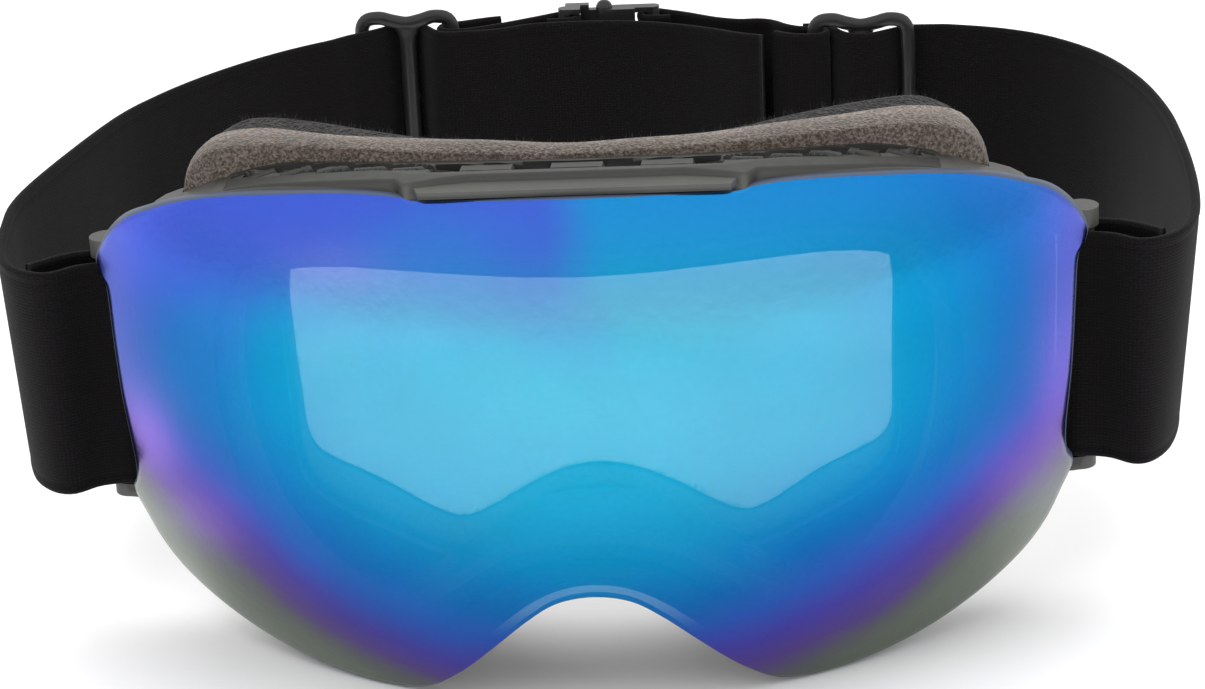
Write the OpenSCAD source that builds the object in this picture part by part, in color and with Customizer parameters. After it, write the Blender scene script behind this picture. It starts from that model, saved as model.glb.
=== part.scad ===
// Frameless ski goggles: a spherical mirror lens held by magnets on a soft frame, layered face foam,
// hinged strap arms, elastic strap with two slide adjusters and a rear hook clasp.
// Millimetres. Drawn with the front of the lens at y = 0, facing -Y, +Z up, then set down so that the
// origin is the middle of the footprint at the lens's lowest point.

/* [Lens] */
// outside radius of the spherical lens
lens_r = 112; // [105:1:130]
// thickness of the outer lens
lens_t = 2; // [1.2:0.1:3]
// thickness of the inner lens
inner_t = 1.2; // [0.8:0.1:2]
// thickness of the plastic ring bonded behind the outer lens
carrier_t = 2.9; // [2:0.1:4]

/* [Frame] */
// thickness of the flange that the lens sits on
flange_t = 3; // [2:0.1:5]
// thickness of the frame's side wall
wall_t = 2.8; // [1.6:0.1:4]
// depth of the frame at the top, from lens apex to foam
rim_y = 28; // [24:1:36]
// thickness of the rear rim that carries the foam
rim_t = 2.5; // [1.5:0.1:4]
// backward lean of the face side
face_tilt = 9; // [0:1:15]
// length of one of the middle vent windows
vent_w = 6.3; // [4:0.1:6.4]
// length of one louvre slot
louvre_w = 4.6; // [3:0.2:5]

/* [Face foam] */
// depth from lens apex to the face, on the centre line
foam_y = 41; // [36:1:50]
// thickness of the dense layer glued to the rim
foam_base_t = 3; // [2:0.5:5]
// thickness of the fleece lining
lining_t = 2.2; // [1:0.1:4]

/* [Strap] */
// webbing thickness
strap_t = 1.8; // [1.2:0.1:2.5]
// height of the strap's top edge above the lens apex
strap_top = 13; // [5:1:20]
// height of the strap's lower edge
strap_low = -32; // [-35:1:-20]
// radius of the strap bar on each arm
arm_bar_r = 2.4; // [1.5:0.1:3]
// radius of the slider bars
slider_bar_r = 1.5; // [1:0.1:2]
// distance from a slider's centre bar to its end bars
slider_half = 10.4; // [8:0.2:12]

/* [Hidden] */
$fn = 72;

gap = 0.2;
// raised edge round the lens ring, the deck on top of the frame and the shelf over the lens
edge_w = 1.2;
deck_slope = 10;
deck_start = [15, 40.8];
shelf_z = 40.05;
shelf_t = 1.2;
shelf_line = [[-26.5, 8.4], [26.5, 8.4], [27.5, 11.5], [20, 17], [-20, 17], [-27.5, 11.5]];
shelf_root = [52, 5.2, 3];
// vent windows, louvres and lower slots: where they start, their pitch and their depth from front to back
vent_x = 7.8;
vent_y = 20;
vent_d = 5.4;
louvre_start = [30.5, 25.4];
louvre_pitch = 6.8;
louvre_d = 2;
louvre_turn = 18;
slot_start = [33.5, 34.8];
slot_pitch = 7;
slot_d = 4;
// hinges, straps, magnets and clasp
carrier_r = lens_r - lens_t - 0.1;
flange_r = carrier_r - carrier_t - 0.3;
inner_r = 103.2;
spacer_in = 0.6;
spacer_out = 3.4;
hinge_p = [77.5, 54.5];
arm_bar_p = [90.5, 59.5];
hinge_r = 3.4;
arm_end_r = 3.2;
arm_top = strap_top + 4;
arm_low = strap_low - 3;
lug_h = 3;
pin_r = 1.2;
pin_fit = 0.05;
loop_r = arm_bar_r + gap + strap_t / 2;
magnet_r = 3;
magnet_h = 1.6;
magnets = [[28, 33.6], [72, 14], [70, -24], [46, -49.5]];
clasp_y = 208.5;
clasp_back = 212.5;
slider_mid_r = 1.9;
loop_gap = 0.4;
lens_low = -61.5;

// ---------- small functions ----------
function mirror_x(p) = [for (q = p) [-q[0], q[1]]];
function reversed(p) = [for (i = [len(p) - 1:-1:0]) p[i]];
// a whole outline from its right half, which starts and ends on the centre line
function whole(h) = concat(h, [for (i = [len(h) - 2:-1:1]) [-h[i][0], h[i][1]]]);
function cr(a, b, c, d, t) =
    0.5 * (2 * b + (c - a) * t + (2 * a - 5 * b + 4 * c - d) * t * t + (3 * b - a - 3 * c + d) * t * t * t);
// smooth curves through the points, closed or open
function smooth_closed(p, n) = let (m = len(p))
    [for (i = [0:m - 1]) for (k = [0:n - 1])
        cr(p[(i + m - 1) % m], p[i], p[(i + 1) % m], p[(i + 2) % m], k / n)];
function smooth_open(p, n) =
    let (m = len(p), e = concat([2 * p[0] - p[1]], p, [2 * p[m - 1] - p[m - 2]]))
    concat([for (i = [1:m - 1]) for (k = [0:n - 1]) cr(e[i - 1], e[i], e[i + 1], e[i + 2], k / n)],
           [p[m - 1]]);
function unit(v) = v / norm(v);
// the outline moved inwards by d
function inset(p, d) = let (m = len(p))
    [for (i = [0:m - 1]) let (t = unit(p[(i + 1) % m] - p[(i + m - 1) % m])) p[i] + d * [t[1], -t[0]]];
// an open path moved sideways by d
function side_of(p, d) = let (m = len(p))
    [for (i = [0:m - 1]) let (t = unit(p[min(i + 1, m - 1)] - p[max(i - 1, 0)])) p[i] + d * [-t[1], t[0]]];
// points i0 to i1 of a path, and the piece of a band between them
function part(p, i0, i1) = [for (i = [i0:i1]) p[i]];
function band_part(p, w, i0, i1) =
    concat(part(side_of(p, w / 2), i0, i1), reversed(part(side_of(p, -w / 2), i0, i1)));
function arc(c, r, a0, a1, n) = [for (i = [0:n]) let (a = a0 + (a1 - a0) * i / n) c + r * [cos(a), sin(a)]];
function turned(p, a) = [p[0] * cos(a) - p[1] * sin(a), p[0] * sin(a) + p[1] * cos(a)];
function bow(x, r) = r - sqrt(r * r - x * x);

// ---------- front view outlines, right halves ----------
lens_half = [[0, 39.9], [15, 39.7], [26.5, 39.2], [30, 39.6], [36, 39.7], [46, 38.8], [60, 36.4],
             [71, 33.2], [79, 29.4], [84, 26.2], [88, 21.8], [90.6, 17], [90.2, 14.6], [88.6, 12.4],
             [88, 5], [87.4, -8], [86.6, -20], [87, -26.5], [88.6, -31], [86.6, -36], [84, -42],
             [80, -47.2], [74, -51.6], [68, -54.8], [62, -57.4], [55, -59.6], [47, -61.1], [40, lens_low],
             [34.5, -60.9], [31, -59.4], [28, -56.8], [24, -52.8], [18, -46], [12, -39.6], [6.5, -35.4],
             [0, -34]];
flange_half = [[0, 39], [22, 38.9], [46, 37.8], [60, 35], [70, 31], [78, 26], [82.5, 19], [83, 10],
               [82.6, -5], [82, -22], [81.5, -34], [79, -42], [73.5, -48.4], [66, -52.6], [58, -55.6],
               [48, -58], [40, -58.4], [34.5, -57.6], [31, -55.6], [26.5, -50.8], [20, -43.6], [13, -36.4],
               [6.5, -32.4], [0, -31.2]];
wall_half = [[0, 41], [22, 40.8], [34, 39.8], [46, 38.2], [57, 36], [66, 32.4], [71.4, 25.4], [73, 14],
             [73.2, 0], [72.8, -14], [71.2, -26], [67.5, -37], [60, -45.4], [51, -50.2], [42, -52],
             [34.5, -50.8], [28, -46.4], [21, -40.2], [14, -34.6], [7, -31.4], [0, -30.6]];
opening_half = [[0, 25.8], [28, 26.3], [44, 25.6], [54, 22.6], [59.5, 15], [61, 3], [60, -9],
                [57, -20.5], [51, -30.5], [43, -38.4], [35.5, -41], [29, -37], [22, -31], [15, -25.6],
                [8, -23.4], [0, -22.6]];
foam_half = [[0, 40.6], [26, 41.2], [50, 41.8], [63, 40.6], [70, 36.4], [72.6, 26], [73, 8], [72.6, -10],
             [70.6, -25], [65.5, -38], [57, -46.5], [46, -50.5], [38, -51], [31.5, -49.4], [24.5, -45],
             [17.5, -39.4], [10, -35], [0, -33.2]];
foam_hole_half = [[0, 28.6], [26, 29], [44, 27.6], [52, 23], [54.6, 13], [55, 0], [55, -12], [54.8, -22],
                  [52.6, -28], [46.5, -32.4], [39, -36], [32, -39.4], [26.5, -40.6], [20.6, -37.6],
                  [14, -32.8], [7, -28.6], [0, -27.2]];
lens_line = smooth_closed(whole(lens_half), 3);
flange_line = smooth_closed(whole(flange_half), 3);
wall_line = smooth_closed(whole(wall_half), 3);
opening_line = smooth_closed(whole(opening_half), 3);
foam_line = smooth_closed(whole(foam_half), 3);
foam_hole_line = smooth_closed(whole(foam_hole_half), 3);

// ---------- plan view curves ----------
rim_curve = [for (x = [-96:6:96]) [x, bow(x, 220)]];
foam_back_half = [[0, 0], [18, 1.7], [33, 5.6], [43, 9.6], [50, 12.8], [55, 13.8], [60, 12.6], [65, 8],
                  [69, 0], [71.5, -10], [76, -30]];
foam_back = smooth_open(concat(reversed(mirror_x(foam_back_half)), [for (i = [1:10]) foam_back_half[i]]), 2);

// strap centre lines in plan, both drawn as if on the right
strap_start = concat([[14.7, -3.1], [9.5, 1.4], [5, 3.2]], arc([0, 0], loop_r, 80, 285, 12),
                     [[5.4, -4.6], [9.8, -7.9], [14.6, -6.6], [19, -1.7], [22, 7.5], [23.6, 21]]);
right_rest = [[114.9, 96], [115, 112], [114.4, 128], [111.6, 147], [105.6, 165], [96.4, 178.4], [86.5, 186]];
left_rest = [[114.5, 94], [110.8, 114], [103, 143.4], [96, 158.6], [88.4, 170.4], [80.4, 180], [73, 187.2],
             [67, 191.9]];
slide_l = [-46.6, 203];
slide_r = [55.3, 189];
tilt_l = 0;
tilt_r = -4;
// how each strap weaves through its slider, in the slider's own axes
left_weave = [[-16.5, -8.4], [-13, -5.2], [-10.4, -3.4], [-7, -0.9], [-3.8, 1.9], [-1.6, 2.9], [0, 3.1],
              [1.8, 2.9], [3.6, 1.7], [5, -0.6], [6.4, -2.9], [8.2, -4.4], [10.8, -4.95], [14.5, -4.6],
              [20.9, -3.8]];
right_weave = [[20, 2.8], [16, 3.1], [12.5, 3.1], [10.2, 2.95], [7.4, 1], [4.6, -1.2], [2.2, -2.8],
               [0, -3.15], [-2.2, -2.8], [-4.2, -1], [-5.4, 0.9], [-6.6, 3.1], [-8.4, 4.6], [-10.6, 5],
               [-13, 5]];
left_end = [[-19, 202.2], [-12, 202.9], [-3, 202.8], [6, 201.4], [14.5, 198.2], [21.8, 194.2], [28.4, 189.8],
            [33.5, 187.4]];
function at_slider(c, a, pts) = [for (q = pts) c + turned(q, a)];
arm_start = [for (q = strap_start) q + arm_bar_p];
left_weave_path = at_slider(slide_l, tilt_l, left_weave);
right_weave_path = at_slider(slide_r, tilt_r, right_weave);
left_path = smooth_open(concat(mirror_x(concat(arm_start, left_rest)), left_weave_path, left_end), 3);
right_path = smooth_open(concat(arm_start, right_rest, right_weave_path), 3);
// the point of each path where the part that changes shape with the slider begins
left_cut = 3 * (len(arm_start) + len(left_rest));
right_cut = 3 * (len(arm_start) + len(right_rest) + 1);

// ---------- shared shapes ----------
// an outline standing in the front view, as a prism through the part
module front_prism(line, y0 = -5, y1 = 95)
    translate([0, y1, 0]) rotate([90, 0, 0]) linear_extrude(height = y1 - y0) polygon(line);

module ring_prism(outer, inner) difference() {
    front_prism(outer);
    front_prism(inner, -6, 96);
}

module ball(r) translate([0, lens_r, 0]) sphere(r = r, $fn = 180);

module shell(r_out, r_in, line) intersection() {
    front_prism(line, -5, 75);
    difference() {
        ball(r_out);
        ball(r_in);
    }
}

// everything in front of a plan curve that starts at depth y on the centre line, leaning back by the tilt
module ahead_of(curve, y)
    translate([0, y, 40]) rotate([face_tilt, 0, 0]) translate([0, 0, -130])
        linear_extrude(height = 200)
            polygon(concat([[curve[len(curve) - 1][0], -90]], reversed(curve), [[curve[0][0], -90]]));

module strap_prism(line, lo = strap_low, hi = strap_top)
    translate([0, 0, lo]) linear_extrude(height = hi - lo) polygon(line);

module post(p, r, lo, hi) translate([p[0], p[1], lo]) cylinder(r = r, h = hi - lo);

// children drawn along -Y, moved out to stand on the lens sphere above the front-view point q
module on_sphere(q, r) translate([0, lens_r, 0])
    rotate([0, 0, asin(q[0] / sqrt(r * r - q[1] * q[1]))]) rotate([-asin(q[1] / r), 0, 0])
        translate([0, -r, 0]) children();

module both_sides() {
    children();
    mirror([1, 0, 0]) children();
}

// ---------- lens group ----------
module outer_lens() color("#2f7fd6") shell(lens_r, lens_r - lens_t, lens_line);

module lens_carrier() color("#1c1d1f") difference() {
    shell(carrier_r, carrier_r - carrier_t, inset(flange_line, 0.6));
    front_prism(inset(opening_line, -spacer_out - 2), -6, 96);
    for (m = magnets) both_sides() on_sphere(m, carrier_r - carrier_t)
        rotate([90, 0, 0]) translate([0, 0, -1]) cylinder(r = magnet_r + 0.1, h = magnet_h + 1.2);
}

module lens_magnets() color("#9a9da1") for (m = magnets) both_sides()
    on_sphere(m, carrier_r - carrier_t) rotate([90, 0, 0]) translate([0, 0, 0.05])
        cylinder(r = magnet_r, h = magnet_h);

module lens_spacer() color("#2a2a2b") difference() {
    shell(carrier_r, inner_r + 0.1, inset(opening_line, -spacer_out));
    front_prism(inset(opening_line, -spacer_in), -6, 96);
}

module inner_lens() color("#c9dbe6")
    shell(inner_r, inner_r - inner_t, inset(opening_line, -spacer_out + 0.4));

// ---------- frame group ----------
module vent_slots() {
    // two windows between three low blocks in the middle of the deck, and a slit beyond each end block
    for (x = [-vent_x, vent_x]) translate([x - vent_w / 2, vent_y, 33]) cube([vent_w, vent_d, 12]);
    both_sides() translate([0, 0, 33]) linear_extrude(height = 12)
        polygon([[20.9, 21.6], [26.2, 25], [20.9, 25.2]]);
    // louvres along each side of the deck, following its curve
    both_sides() for (i = [0:4])
        translate([louvre_start[0] + louvre_pitch * i, louvre_start[1] + (1.4 + 0.2 * i) * i, 24])
            rotate([0, 0, louvre_turn]) translate([-louvre_w / 2, -louvre_d / 2, 0])
                cube([louvre_w, louvre_d, 20]);
    // slots in the lower wall over the cheeks
    both_sides() for (i = [0:3])
        translate([slot_start[0] + slot_pitch * i - louvre_w / 2, slot_start[1], -58])
            cube([louvre_w, slot_d, 15]);
}

// clear space round the arms where the flange's lower corners reach back to them
module arm_room() both_sides() {
    post(hinge_p, hinge_r + 0.5, arm_low - gap, arm_top + gap);
    translate([hinge_p[0], hinge_p[1] - hinge_r - 0.5, arm_low - gap])
        cube([12, 12, arm_top - arm_low + 2 * gap]);
}

// the space that the face foam takes up behind the rim
module foam_room() difference() {
    front_prism(inset(foam_line, -2 * gap), 20, 90);
    ahead_of(rim_curve, rim_y);
}

// hinge lugs and the roots that carry them down to the flange
module hinge_lugs() both_sides() for (z0 = [arm_top + gap, arm_low - gap - lug_h]) {
    post(hinge_p, hinge_r, z0, z0 + lug_h);
    intersection() {
        translate([hinge_p[0] - hinge_r, 30, z0]) cube([2 * hinge_r, hinge_p[1] - 30, lug_h]);
        ball(flange_r - 0.6);
    }
}

// the space over the sloping top of the deck
module above_deck() translate([-60, deck_start[0], deck_start[1]]) rotate([-deck_slope, 0, 0])
    cube([120, 40, 10]);

module frame() color("#4b4b4a") difference() {
    union() {
        difference() {
            union() {
                shell(flange_r, flange_r - flange_t, flange_line);
                // raised edge that stands round the ring behind the lens
                difference() {
                    shell(carrier_r - 0.1, flange_r - flange_t, inset(flange_line, -edge_w));
                    front_prism(inset(flange_line, 0.2), -6, 96);
                }
            }
            front_prism(inset(opening_line, -spacer_out - gap), -6, 96);
            arm_room();
            foam_room();
        }
        // wall between the flange and the face rim, its top sloping down to the rear
        difference() {
            intersection() {
                ring_prism(wall_line, inset(wall_line, wall_t));
                ahead_of(rim_curve, rim_y);
                ball(flange_r - 1);
            }
            above_deck();
        }
        // rear rim under the foam
        intersection() {
            ring_prism(wall_line, inset(foam_hole_line, -1));
            difference() {
                ahead_of(rim_curve, rim_y);
                ahead_of(rim_curve, rim_y - rim_t);
                above_deck();
            }
        }
        // grip shelf over the middle of the lens's top edge, with its root in the wall
        translate([0, 0, shelf_z]) linear_extrude(height = shelf_t) polygon(shelf_line);
        intersection() {
            translate([-shelf_root[0] / 2, 10, shelf_z + 0.45 - shelf_root[2]]) cube(shelf_root);
            ball(flange_r);
        }
        hinge_lugs();
    }
    vent_slots();
    both_sides() post(hinge_p, pin_r + pin_fit, arm_low - 12, arm_top + 12);
    for (m = magnets) both_sides() on_sphere(m, flange_r)
        rotate([90, 0, 0]) translate([0, 0, -magnet_h - 0.2]) cylinder(r = magnet_r + 0.1, h = magnet_h + 2);
}

module frame_magnets() color("#9a9da1") for (m = magnets) both_sides()
    on_sphere(m, flange_r) rotate([90, 0, 0]) translate([0, 0, -magnet_h - 0.1])
        cylinder(r = magnet_r, h = magnet_h);

module vent_foam(z0, z1) intersection() {
    difference() {
        ring_prism(inset(wall_line, wall_t + 0.2), inset(wall_line, wall_t + 2.7));
        front_prism(inset(opening_line, -spacer_out - gap), -6, 96);
    }
    difference() {
        ahead_of(rim_curve, rim_y - rim_t - 0.2);
        difference() {
            translate([-150, -100, -150]) cube([300, 400, 300]);
            ball(flange_r - flange_t - 0.3);
        }
    }
    translate([-62, 0, z0]) cube([124, 90, z1 - z0]);
}

module top_vent_foam() color("#202122") vent_foam(30, 45);

module bottom_vent_foam() color("#202122") vent_foam(-60, -41);

module hinge_pin_right() color("#8d9093")
    post(hinge_p, pin_r, arm_low - gap - lug_h, arm_top + gap + lug_h);
module right_hinge_pin() hinge_pin_right();
module left_hinge_pin() mirror([1, 0, 0]) hinge_pin_right();

// ---------- face foam ----------
module foam_base() color("#3a3937") intersection() {
    ring_prism(foam_line, foam_hole_line);
    difference() {
        ahead_of(rim_curve, rim_y + 0.1 + foam_base_t);
        ahead_of(rim_curve, rim_y + 0.1);
    }
}

module face_foam() color("#8b8079") difference() {
    intersection() {
        ring_prism(foam_line, foam_hole_line);
        ahead_of(foam_back, foam_y - lining_t - 0.1);
    }
    ahead_of(rim_curve, rim_y + 0.2 + foam_base_t);
}

module foam_lining() color("#35353a") difference() {
    intersection() {
        ring_prism(foam_line, foam_hole_line);
        ahead_of(foam_back, foam_y);
    }
    ahead_of(foam_back, foam_y - lining_t);
    ahead_of(rim_curve, rim_y + 0.2 + foam_base_t);
}

// ---------- strap arms ----------
module arm_right() color("#3c3c3c") difference() {
    union() {
        post(hinge_p, hinge_r, arm_low, arm_top);
        post(arm_bar_p, arm_bar_r, arm_low, arm_top);
        // web beside the hinge
        translate([hinge_p[0], hinge_p[1] - 1, arm_low]) cube([6, 4.4, arm_top - arm_low]);
        // bridges above and below the strap
        for (z = [[strap_top + 0.4, arm_top], [arm_low, strap_low - 0.4]]) {
            post(arm_bar_p, arm_end_r, z[0], z[1]);
            translate([0, 0, z[0]]) linear_extrude(height = z[1] - z[0])
                polygon([hinge_p + [0, -1.6], arm_bar_p + [0, -arm_end_r], arm_bar_p + [0, arm_end_r],
                         hinge_p + [0, hinge_r]]);
        }
    }
    post(hinge_p, pin_r + pin_fit, arm_low - 1, arm_top + 1);
}
module right_arm() arm_right();
module left_arm() mirror([1, 0, 0]) arm_right();

// ---------- strap ----------
module webbing(path, i0, i1) color("#17171a") strap_prism(band_part(path, strap_t, i0, i1));
module left_side_strap() webbing(left_path, 0, left_cut);
module right_side_strap() webbing(right_path, 0, right_cut);
module left_strap_tail() webbing(left_path, left_cut, len(left_path) - 1);
module right_strap_tail() webbing(right_path, right_cut, len(right_path) - 1);

// slider in its own axes: strap along X, bars on Z. Its rails rise in two humps over the slots.
slider_over = 3.9;
slider_edge = [[-10.4, 0], [-10.4, 19], [-9.6, 24.1], [-6.4, 25.1], [-3.2, 24.3], [0, 23.7], [3.2, 24.3],
               [6.4, 25.1], [9.6, 24.1], [10.4, 19], [10.4, 0]];
slider_lower = [for (i = [9:-1:1]) [slider_edge[i][0], -slider_edge[i][1]]];
slider_loop = smooth_closed(concat(slider_edge, slider_lower), 4);
module slider_body() color("#3d3e40") {
    mid = (strap_top + strap_low) / 2;
    intersection() {
        translate([0, 1.1, mid]) rotate([90, 0, 0]) linear_extrude(height = 2.2) difference() {
            polygon(inset(slider_loop, -1.2));
            polygon(inset(slider_loop, 1.2));
        }
        strap_prism([[-20, -5], [20, -5], [20, 5], [-20, 5]], strap_low - slider_over,
                    strap_top + slider_over);
    }
    for (x = [-slider_half, slider_half]) post([x, 0], slider_bar_r, mid - 21.5, mid + 21.5);
    post([0, 0], slider_mid_r, mid - 23.7, mid + 23.7);
}
module left_slider() translate([slide_l[0], slide_l[1], 0]) rotate([0, 0, tilt_l]) slider_body();
module right_slider() translate([slide_r[0], slide_r[1], 0]) rotate([0, 0, tilt_r]) slider_body();

// rear straps run from a slider's inner bar to the clasp
rear_loop = slider_bar_r + loop_gap + strap_t / 2;
function about(c, r, s, angles) = [for (a = angles) c + r * [s * cos(a), sin(a)]];
function between(a, way, b) = let (p = smooth_open(concat([a], way, [b]), 4)) part(p, 1, len(p) - 2);
hook_pivot = [-11, clasp_y];
bar_post = [-2, clasp_y];
eye_post = [9, clasp_y];

// round a clasp post to its sewn end: s is +1 on the right, -1 on the left
function eye_turn(eye, s) = concat(about(eye, rear_loop, s, [60:15:270]),
                                   [eye + [s * 2, -rear_loop], eye + [s * 4, -rear_loop]]);

left_bar = slide_l + turned([slider_half, 0], tilt_l);
left_turn = about(left_bar, rear_loop, 1, [90:15:270]);
left_eye = eye_turn(hook_pivot, -1);
left_way = [[-32, 200.6], [-25.7, 203.3], [-18.6, 207.2]];
left_tab = [[10.5, 6.2], [8, 5.6], [5.4, 4.7], [2.6, 3.5]];
left_rear_path = concat([for (q = left_tab) left_bar + q], left_turn,
                        between(left_turn[12], left_way, left_eye[0]), left_eye);

right_bar = slide_r + turned([-slider_half, 0], tilt_r);
right_turn = about(right_bar, rear_loop, 1, [for (a = [-90:15:90]) a + tilt_r]);
right_eye = eye_turn(eye_post, 1);
right_way = [[41.6, 193.2], [38.6, 195.4], [36, 198.6], [32.8, 200.2], [28.4, 200.3],
             [23, 202.6], [16.6, 207.2]];
right_tab = [[-8.8, 0.6], [-6.5, -1], [-4.4, -2.1], [-2.2, -2.6]];
right_rear_path = concat([for (q = right_tab) right_bar + q], right_turn,
                         between(right_turn[12], right_way, right_eye[0]), right_eye);

module left_rear_strap() webbing(left_rear_path, 0, len(left_rear_path) - 1);
module right_rear_strap() webbing(right_rear_path, 0, len(right_rear_path) - 1);

// ---------- rear clasp ----------
clasp_lo = strap_low - 1.6;
clasp_hi = strap_top + 1.5;
clasp_in_lo = strap_low - 0.3;
clasp_in_hi = strap_top + 0.3;
clasp_ends = [[clasp_in_hi, clasp_hi], [clasp_lo, clasp_in_lo]];
bar_post_r = 1.6;
web_y = 2.5;
web_t = 1.2;
web_l = 7;
web_over = 1.2;
knob_r = 1.9;
// the hook's links stop short of the bar, so the halves can close up a little as the arms swing
link_l = 3.5;
plate_x = hook_pivot[0] + link_l - 0.1;
plate_t = 2;
lip_x = bar_post[0] + 2;
lip_t = 1.4;
module clasp_bar() color("#3d3e40") {
    post(bar_post, bar_post_r, clasp_lo, clasp_hi);
    post(eye_post, slider_bar_r, clasp_lo, clasp_hi);
    for (z = clasp_ends) translate([bar_post[0], clasp_y - slider_bar_r, z[0]])
        cube([eye_post[0] - bar_post[0], 2 * slider_bar_r, z[1] - z[0]]);
    // plate across the front of the clasp, which keeps the two posts square
    translate([bar_post[0] - web_over, clasp_y - web_y, clasp_lo])
        cube([web_over + web_l, web_t, clasp_hi - clasp_lo]);
    translate([bar_post[0], clasp_y, clasp_hi - 0.2]) sphere(r = knob_r);
}

module clasp_hook() color("#3d3e40") {
    depth = clasp_back - clasp_y;
    post(hook_pivot, slider_bar_r, clasp_lo, clasp_hi);
    // end links from the pivot to the plate, outside the strap's edges
    for (z = clasp_ends) translate([hook_pivot[0], clasp_y - slider_bar_r, z[0]])
        cube([link_l, depth + slider_bar_r, z[1] - z[0]]);
    // plate behind the bar, its taller edge on the links, and the lip that holds the bar
    translate([plate_x, clasp_back - plate_t, clasp_lo])
        cube([lip_x + lip_t - plate_x, plate_t, clasp_in_hi - clasp_lo]);
    translate([plate_x, clasp_back - plate_t, clasp_lo]) cube([plate_t, plate_t, clasp_hi - clasp_lo]);
    translate([lip_x, clasp_y - 0.8, clasp_in_lo + 0.6])
        cube([lip_t, depth + 0.8, strap_top - strap_low - 0.6]);
}

// ---------- placing ----------
module placed() translate([0, -clasp_back / 2, -lens_low]) children();

placed() {
    frame();
    frame_magnets();
    top_vent_foam();
    bottom_vent_foam();
    foam_base();
    face_foam();
    foam_lining();
    left_hinge_pin();
    right_hinge_pin();
    outer_lens();
    lens_carrier();
    lens_magnets();
    lens_spacer();
    inner_lens();
    left_arm();
    right_arm();
    left_side_strap();
    right_side_strap();
    left_strap_tail();
    right_strap_tail();
    left_slider();
    right_slider();
    left_rear_strap();
    right_rear_strap();
    clasp_hook();
    clasp_bar();
}
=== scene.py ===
import bpy
import math
import random
from mathutils import Matrix, Vector, noise


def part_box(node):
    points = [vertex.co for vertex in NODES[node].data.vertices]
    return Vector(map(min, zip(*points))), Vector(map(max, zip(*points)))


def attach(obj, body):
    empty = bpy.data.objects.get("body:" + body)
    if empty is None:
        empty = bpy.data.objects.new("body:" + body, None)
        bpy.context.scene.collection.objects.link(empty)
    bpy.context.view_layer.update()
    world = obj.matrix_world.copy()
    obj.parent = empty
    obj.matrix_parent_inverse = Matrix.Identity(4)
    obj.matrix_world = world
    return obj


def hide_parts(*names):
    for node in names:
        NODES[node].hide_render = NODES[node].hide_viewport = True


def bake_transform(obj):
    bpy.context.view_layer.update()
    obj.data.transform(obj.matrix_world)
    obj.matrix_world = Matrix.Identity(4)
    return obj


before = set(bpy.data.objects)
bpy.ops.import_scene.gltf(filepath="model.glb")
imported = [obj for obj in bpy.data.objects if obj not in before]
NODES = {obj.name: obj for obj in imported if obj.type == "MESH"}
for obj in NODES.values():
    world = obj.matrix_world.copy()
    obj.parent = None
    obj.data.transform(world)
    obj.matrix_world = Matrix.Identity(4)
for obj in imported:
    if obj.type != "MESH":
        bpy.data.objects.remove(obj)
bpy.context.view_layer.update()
# the foam's waves come from this noise, which is otherwise seeded from the clock
noise.seed_set(1)

# ---------- places and sizes, in millimetres of the design unless said ----------
# The design's y starts at the lens's front and its z at the lens's apex, as in the CAD source.
MM = 0.001
LENS_LO, LENS_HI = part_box("outer_lens")
LENS_LOW = -61.5
LENS_R = 112.0
LENS_T = 2.0
STRAP_TOP = 13.0
STRAP_LOW = -32.0
STRAP_T = 1.8
RIM_Y = 28.0
FOAM_Y = 41.0
FOAM_BASE_T = 3.0
LINING_T = 2.2
FACE_TILT = math.radians(9)
TILT_TOP = 40.0
RIM_BOW_R = 220.0


def place(x, y, z):
    """A point of the design, in metres in the row frame."""
    return Vector((x * MM, LENS_LO.y + y * MM, LENS_LO.z + (z - LENS_LOW) * MM))


# ---------- curves ----------
def catmull(a, b, c, d, t):
    """A point between b and c on a Catmull-Rom curve."""
    return 0.5 * (2 * b + (c - a) * t + (2 * a - 5 * b + 4 * c - d) * t * t
                  + (3 * b - a - 3 * c + d) * t ** 3)


def smooth(points, n, closed=False):
    """A smooth curve through 2-D points, n steps between each pair."""
    p = [Vector(q) for q in points]
    m = len(p)
    if closed:
        return [catmull(p[i - 1], p[i], p[(i + 1) % m], p[(i + 2) % m], k / n)
                for i in range(m) for k in range(n)]
    e = [2 * p[0] - p[1]] + p + [2 * p[-1] - p[-2]]
    out = [catmull(e[i - 1], e[i], e[i + 1], e[i + 2], k / n) for i in range(1, m) for k in range(n)]
    return out + [p[-1]]


def whole(half):
    """A whole outline from its right half, which starts and ends on the centre line."""
    return list(half) + [(-x, z) for x, z in half[-2:0:-1]]


def lengths(curve, closed=False):
    total = [0.0]
    ends = curve[1:] + ([curve[0]] if closed else [])
    for a, b in zip(curve, ends):
        total.append(total[-1] + (b - a).length)
    return total


def resample(curve, count, closed=False):
    """count points at equal steps along a curve. An open curve keeps both its ends."""
    total = lengths(curve, closed)
    ring = curve + ([curve[0]] if closed else [])
    out = []
    seg = 0
    for i in range(count):
        want = total[-1] * i / (count if closed else count - 1)
        while seg < len(ring) - 2 and total[seg + 1] < want:
            seg += 1
        span = max(total[seg + 1] - total[seg], 1e-9)
        t = min(max((want - total[seg]) / span, 0), 1)
        out.append(ring[seg].lerp(ring[seg + 1], t))
    return out


def arc(centre, r, a0, a1, n):
    c = Vector(centre)
    angles = [math.radians(a0 + (a1 - a0) * i / n) for i in range(n + 1)]
    return [c + r * Vector((math.cos(a), math.sin(a))) for a in angles]


def turned(x, y, degrees):
    a = math.radians(degrees)
    return Vector((x * math.cos(a) - y * math.sin(a), x * math.sin(a) + y * math.cos(a)))


def smoothstep(a, b, v):
    t = min(max((v - a) / (b - a), 0.0), 1.0)
    return t * t * (3 - 2 * t)


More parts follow.
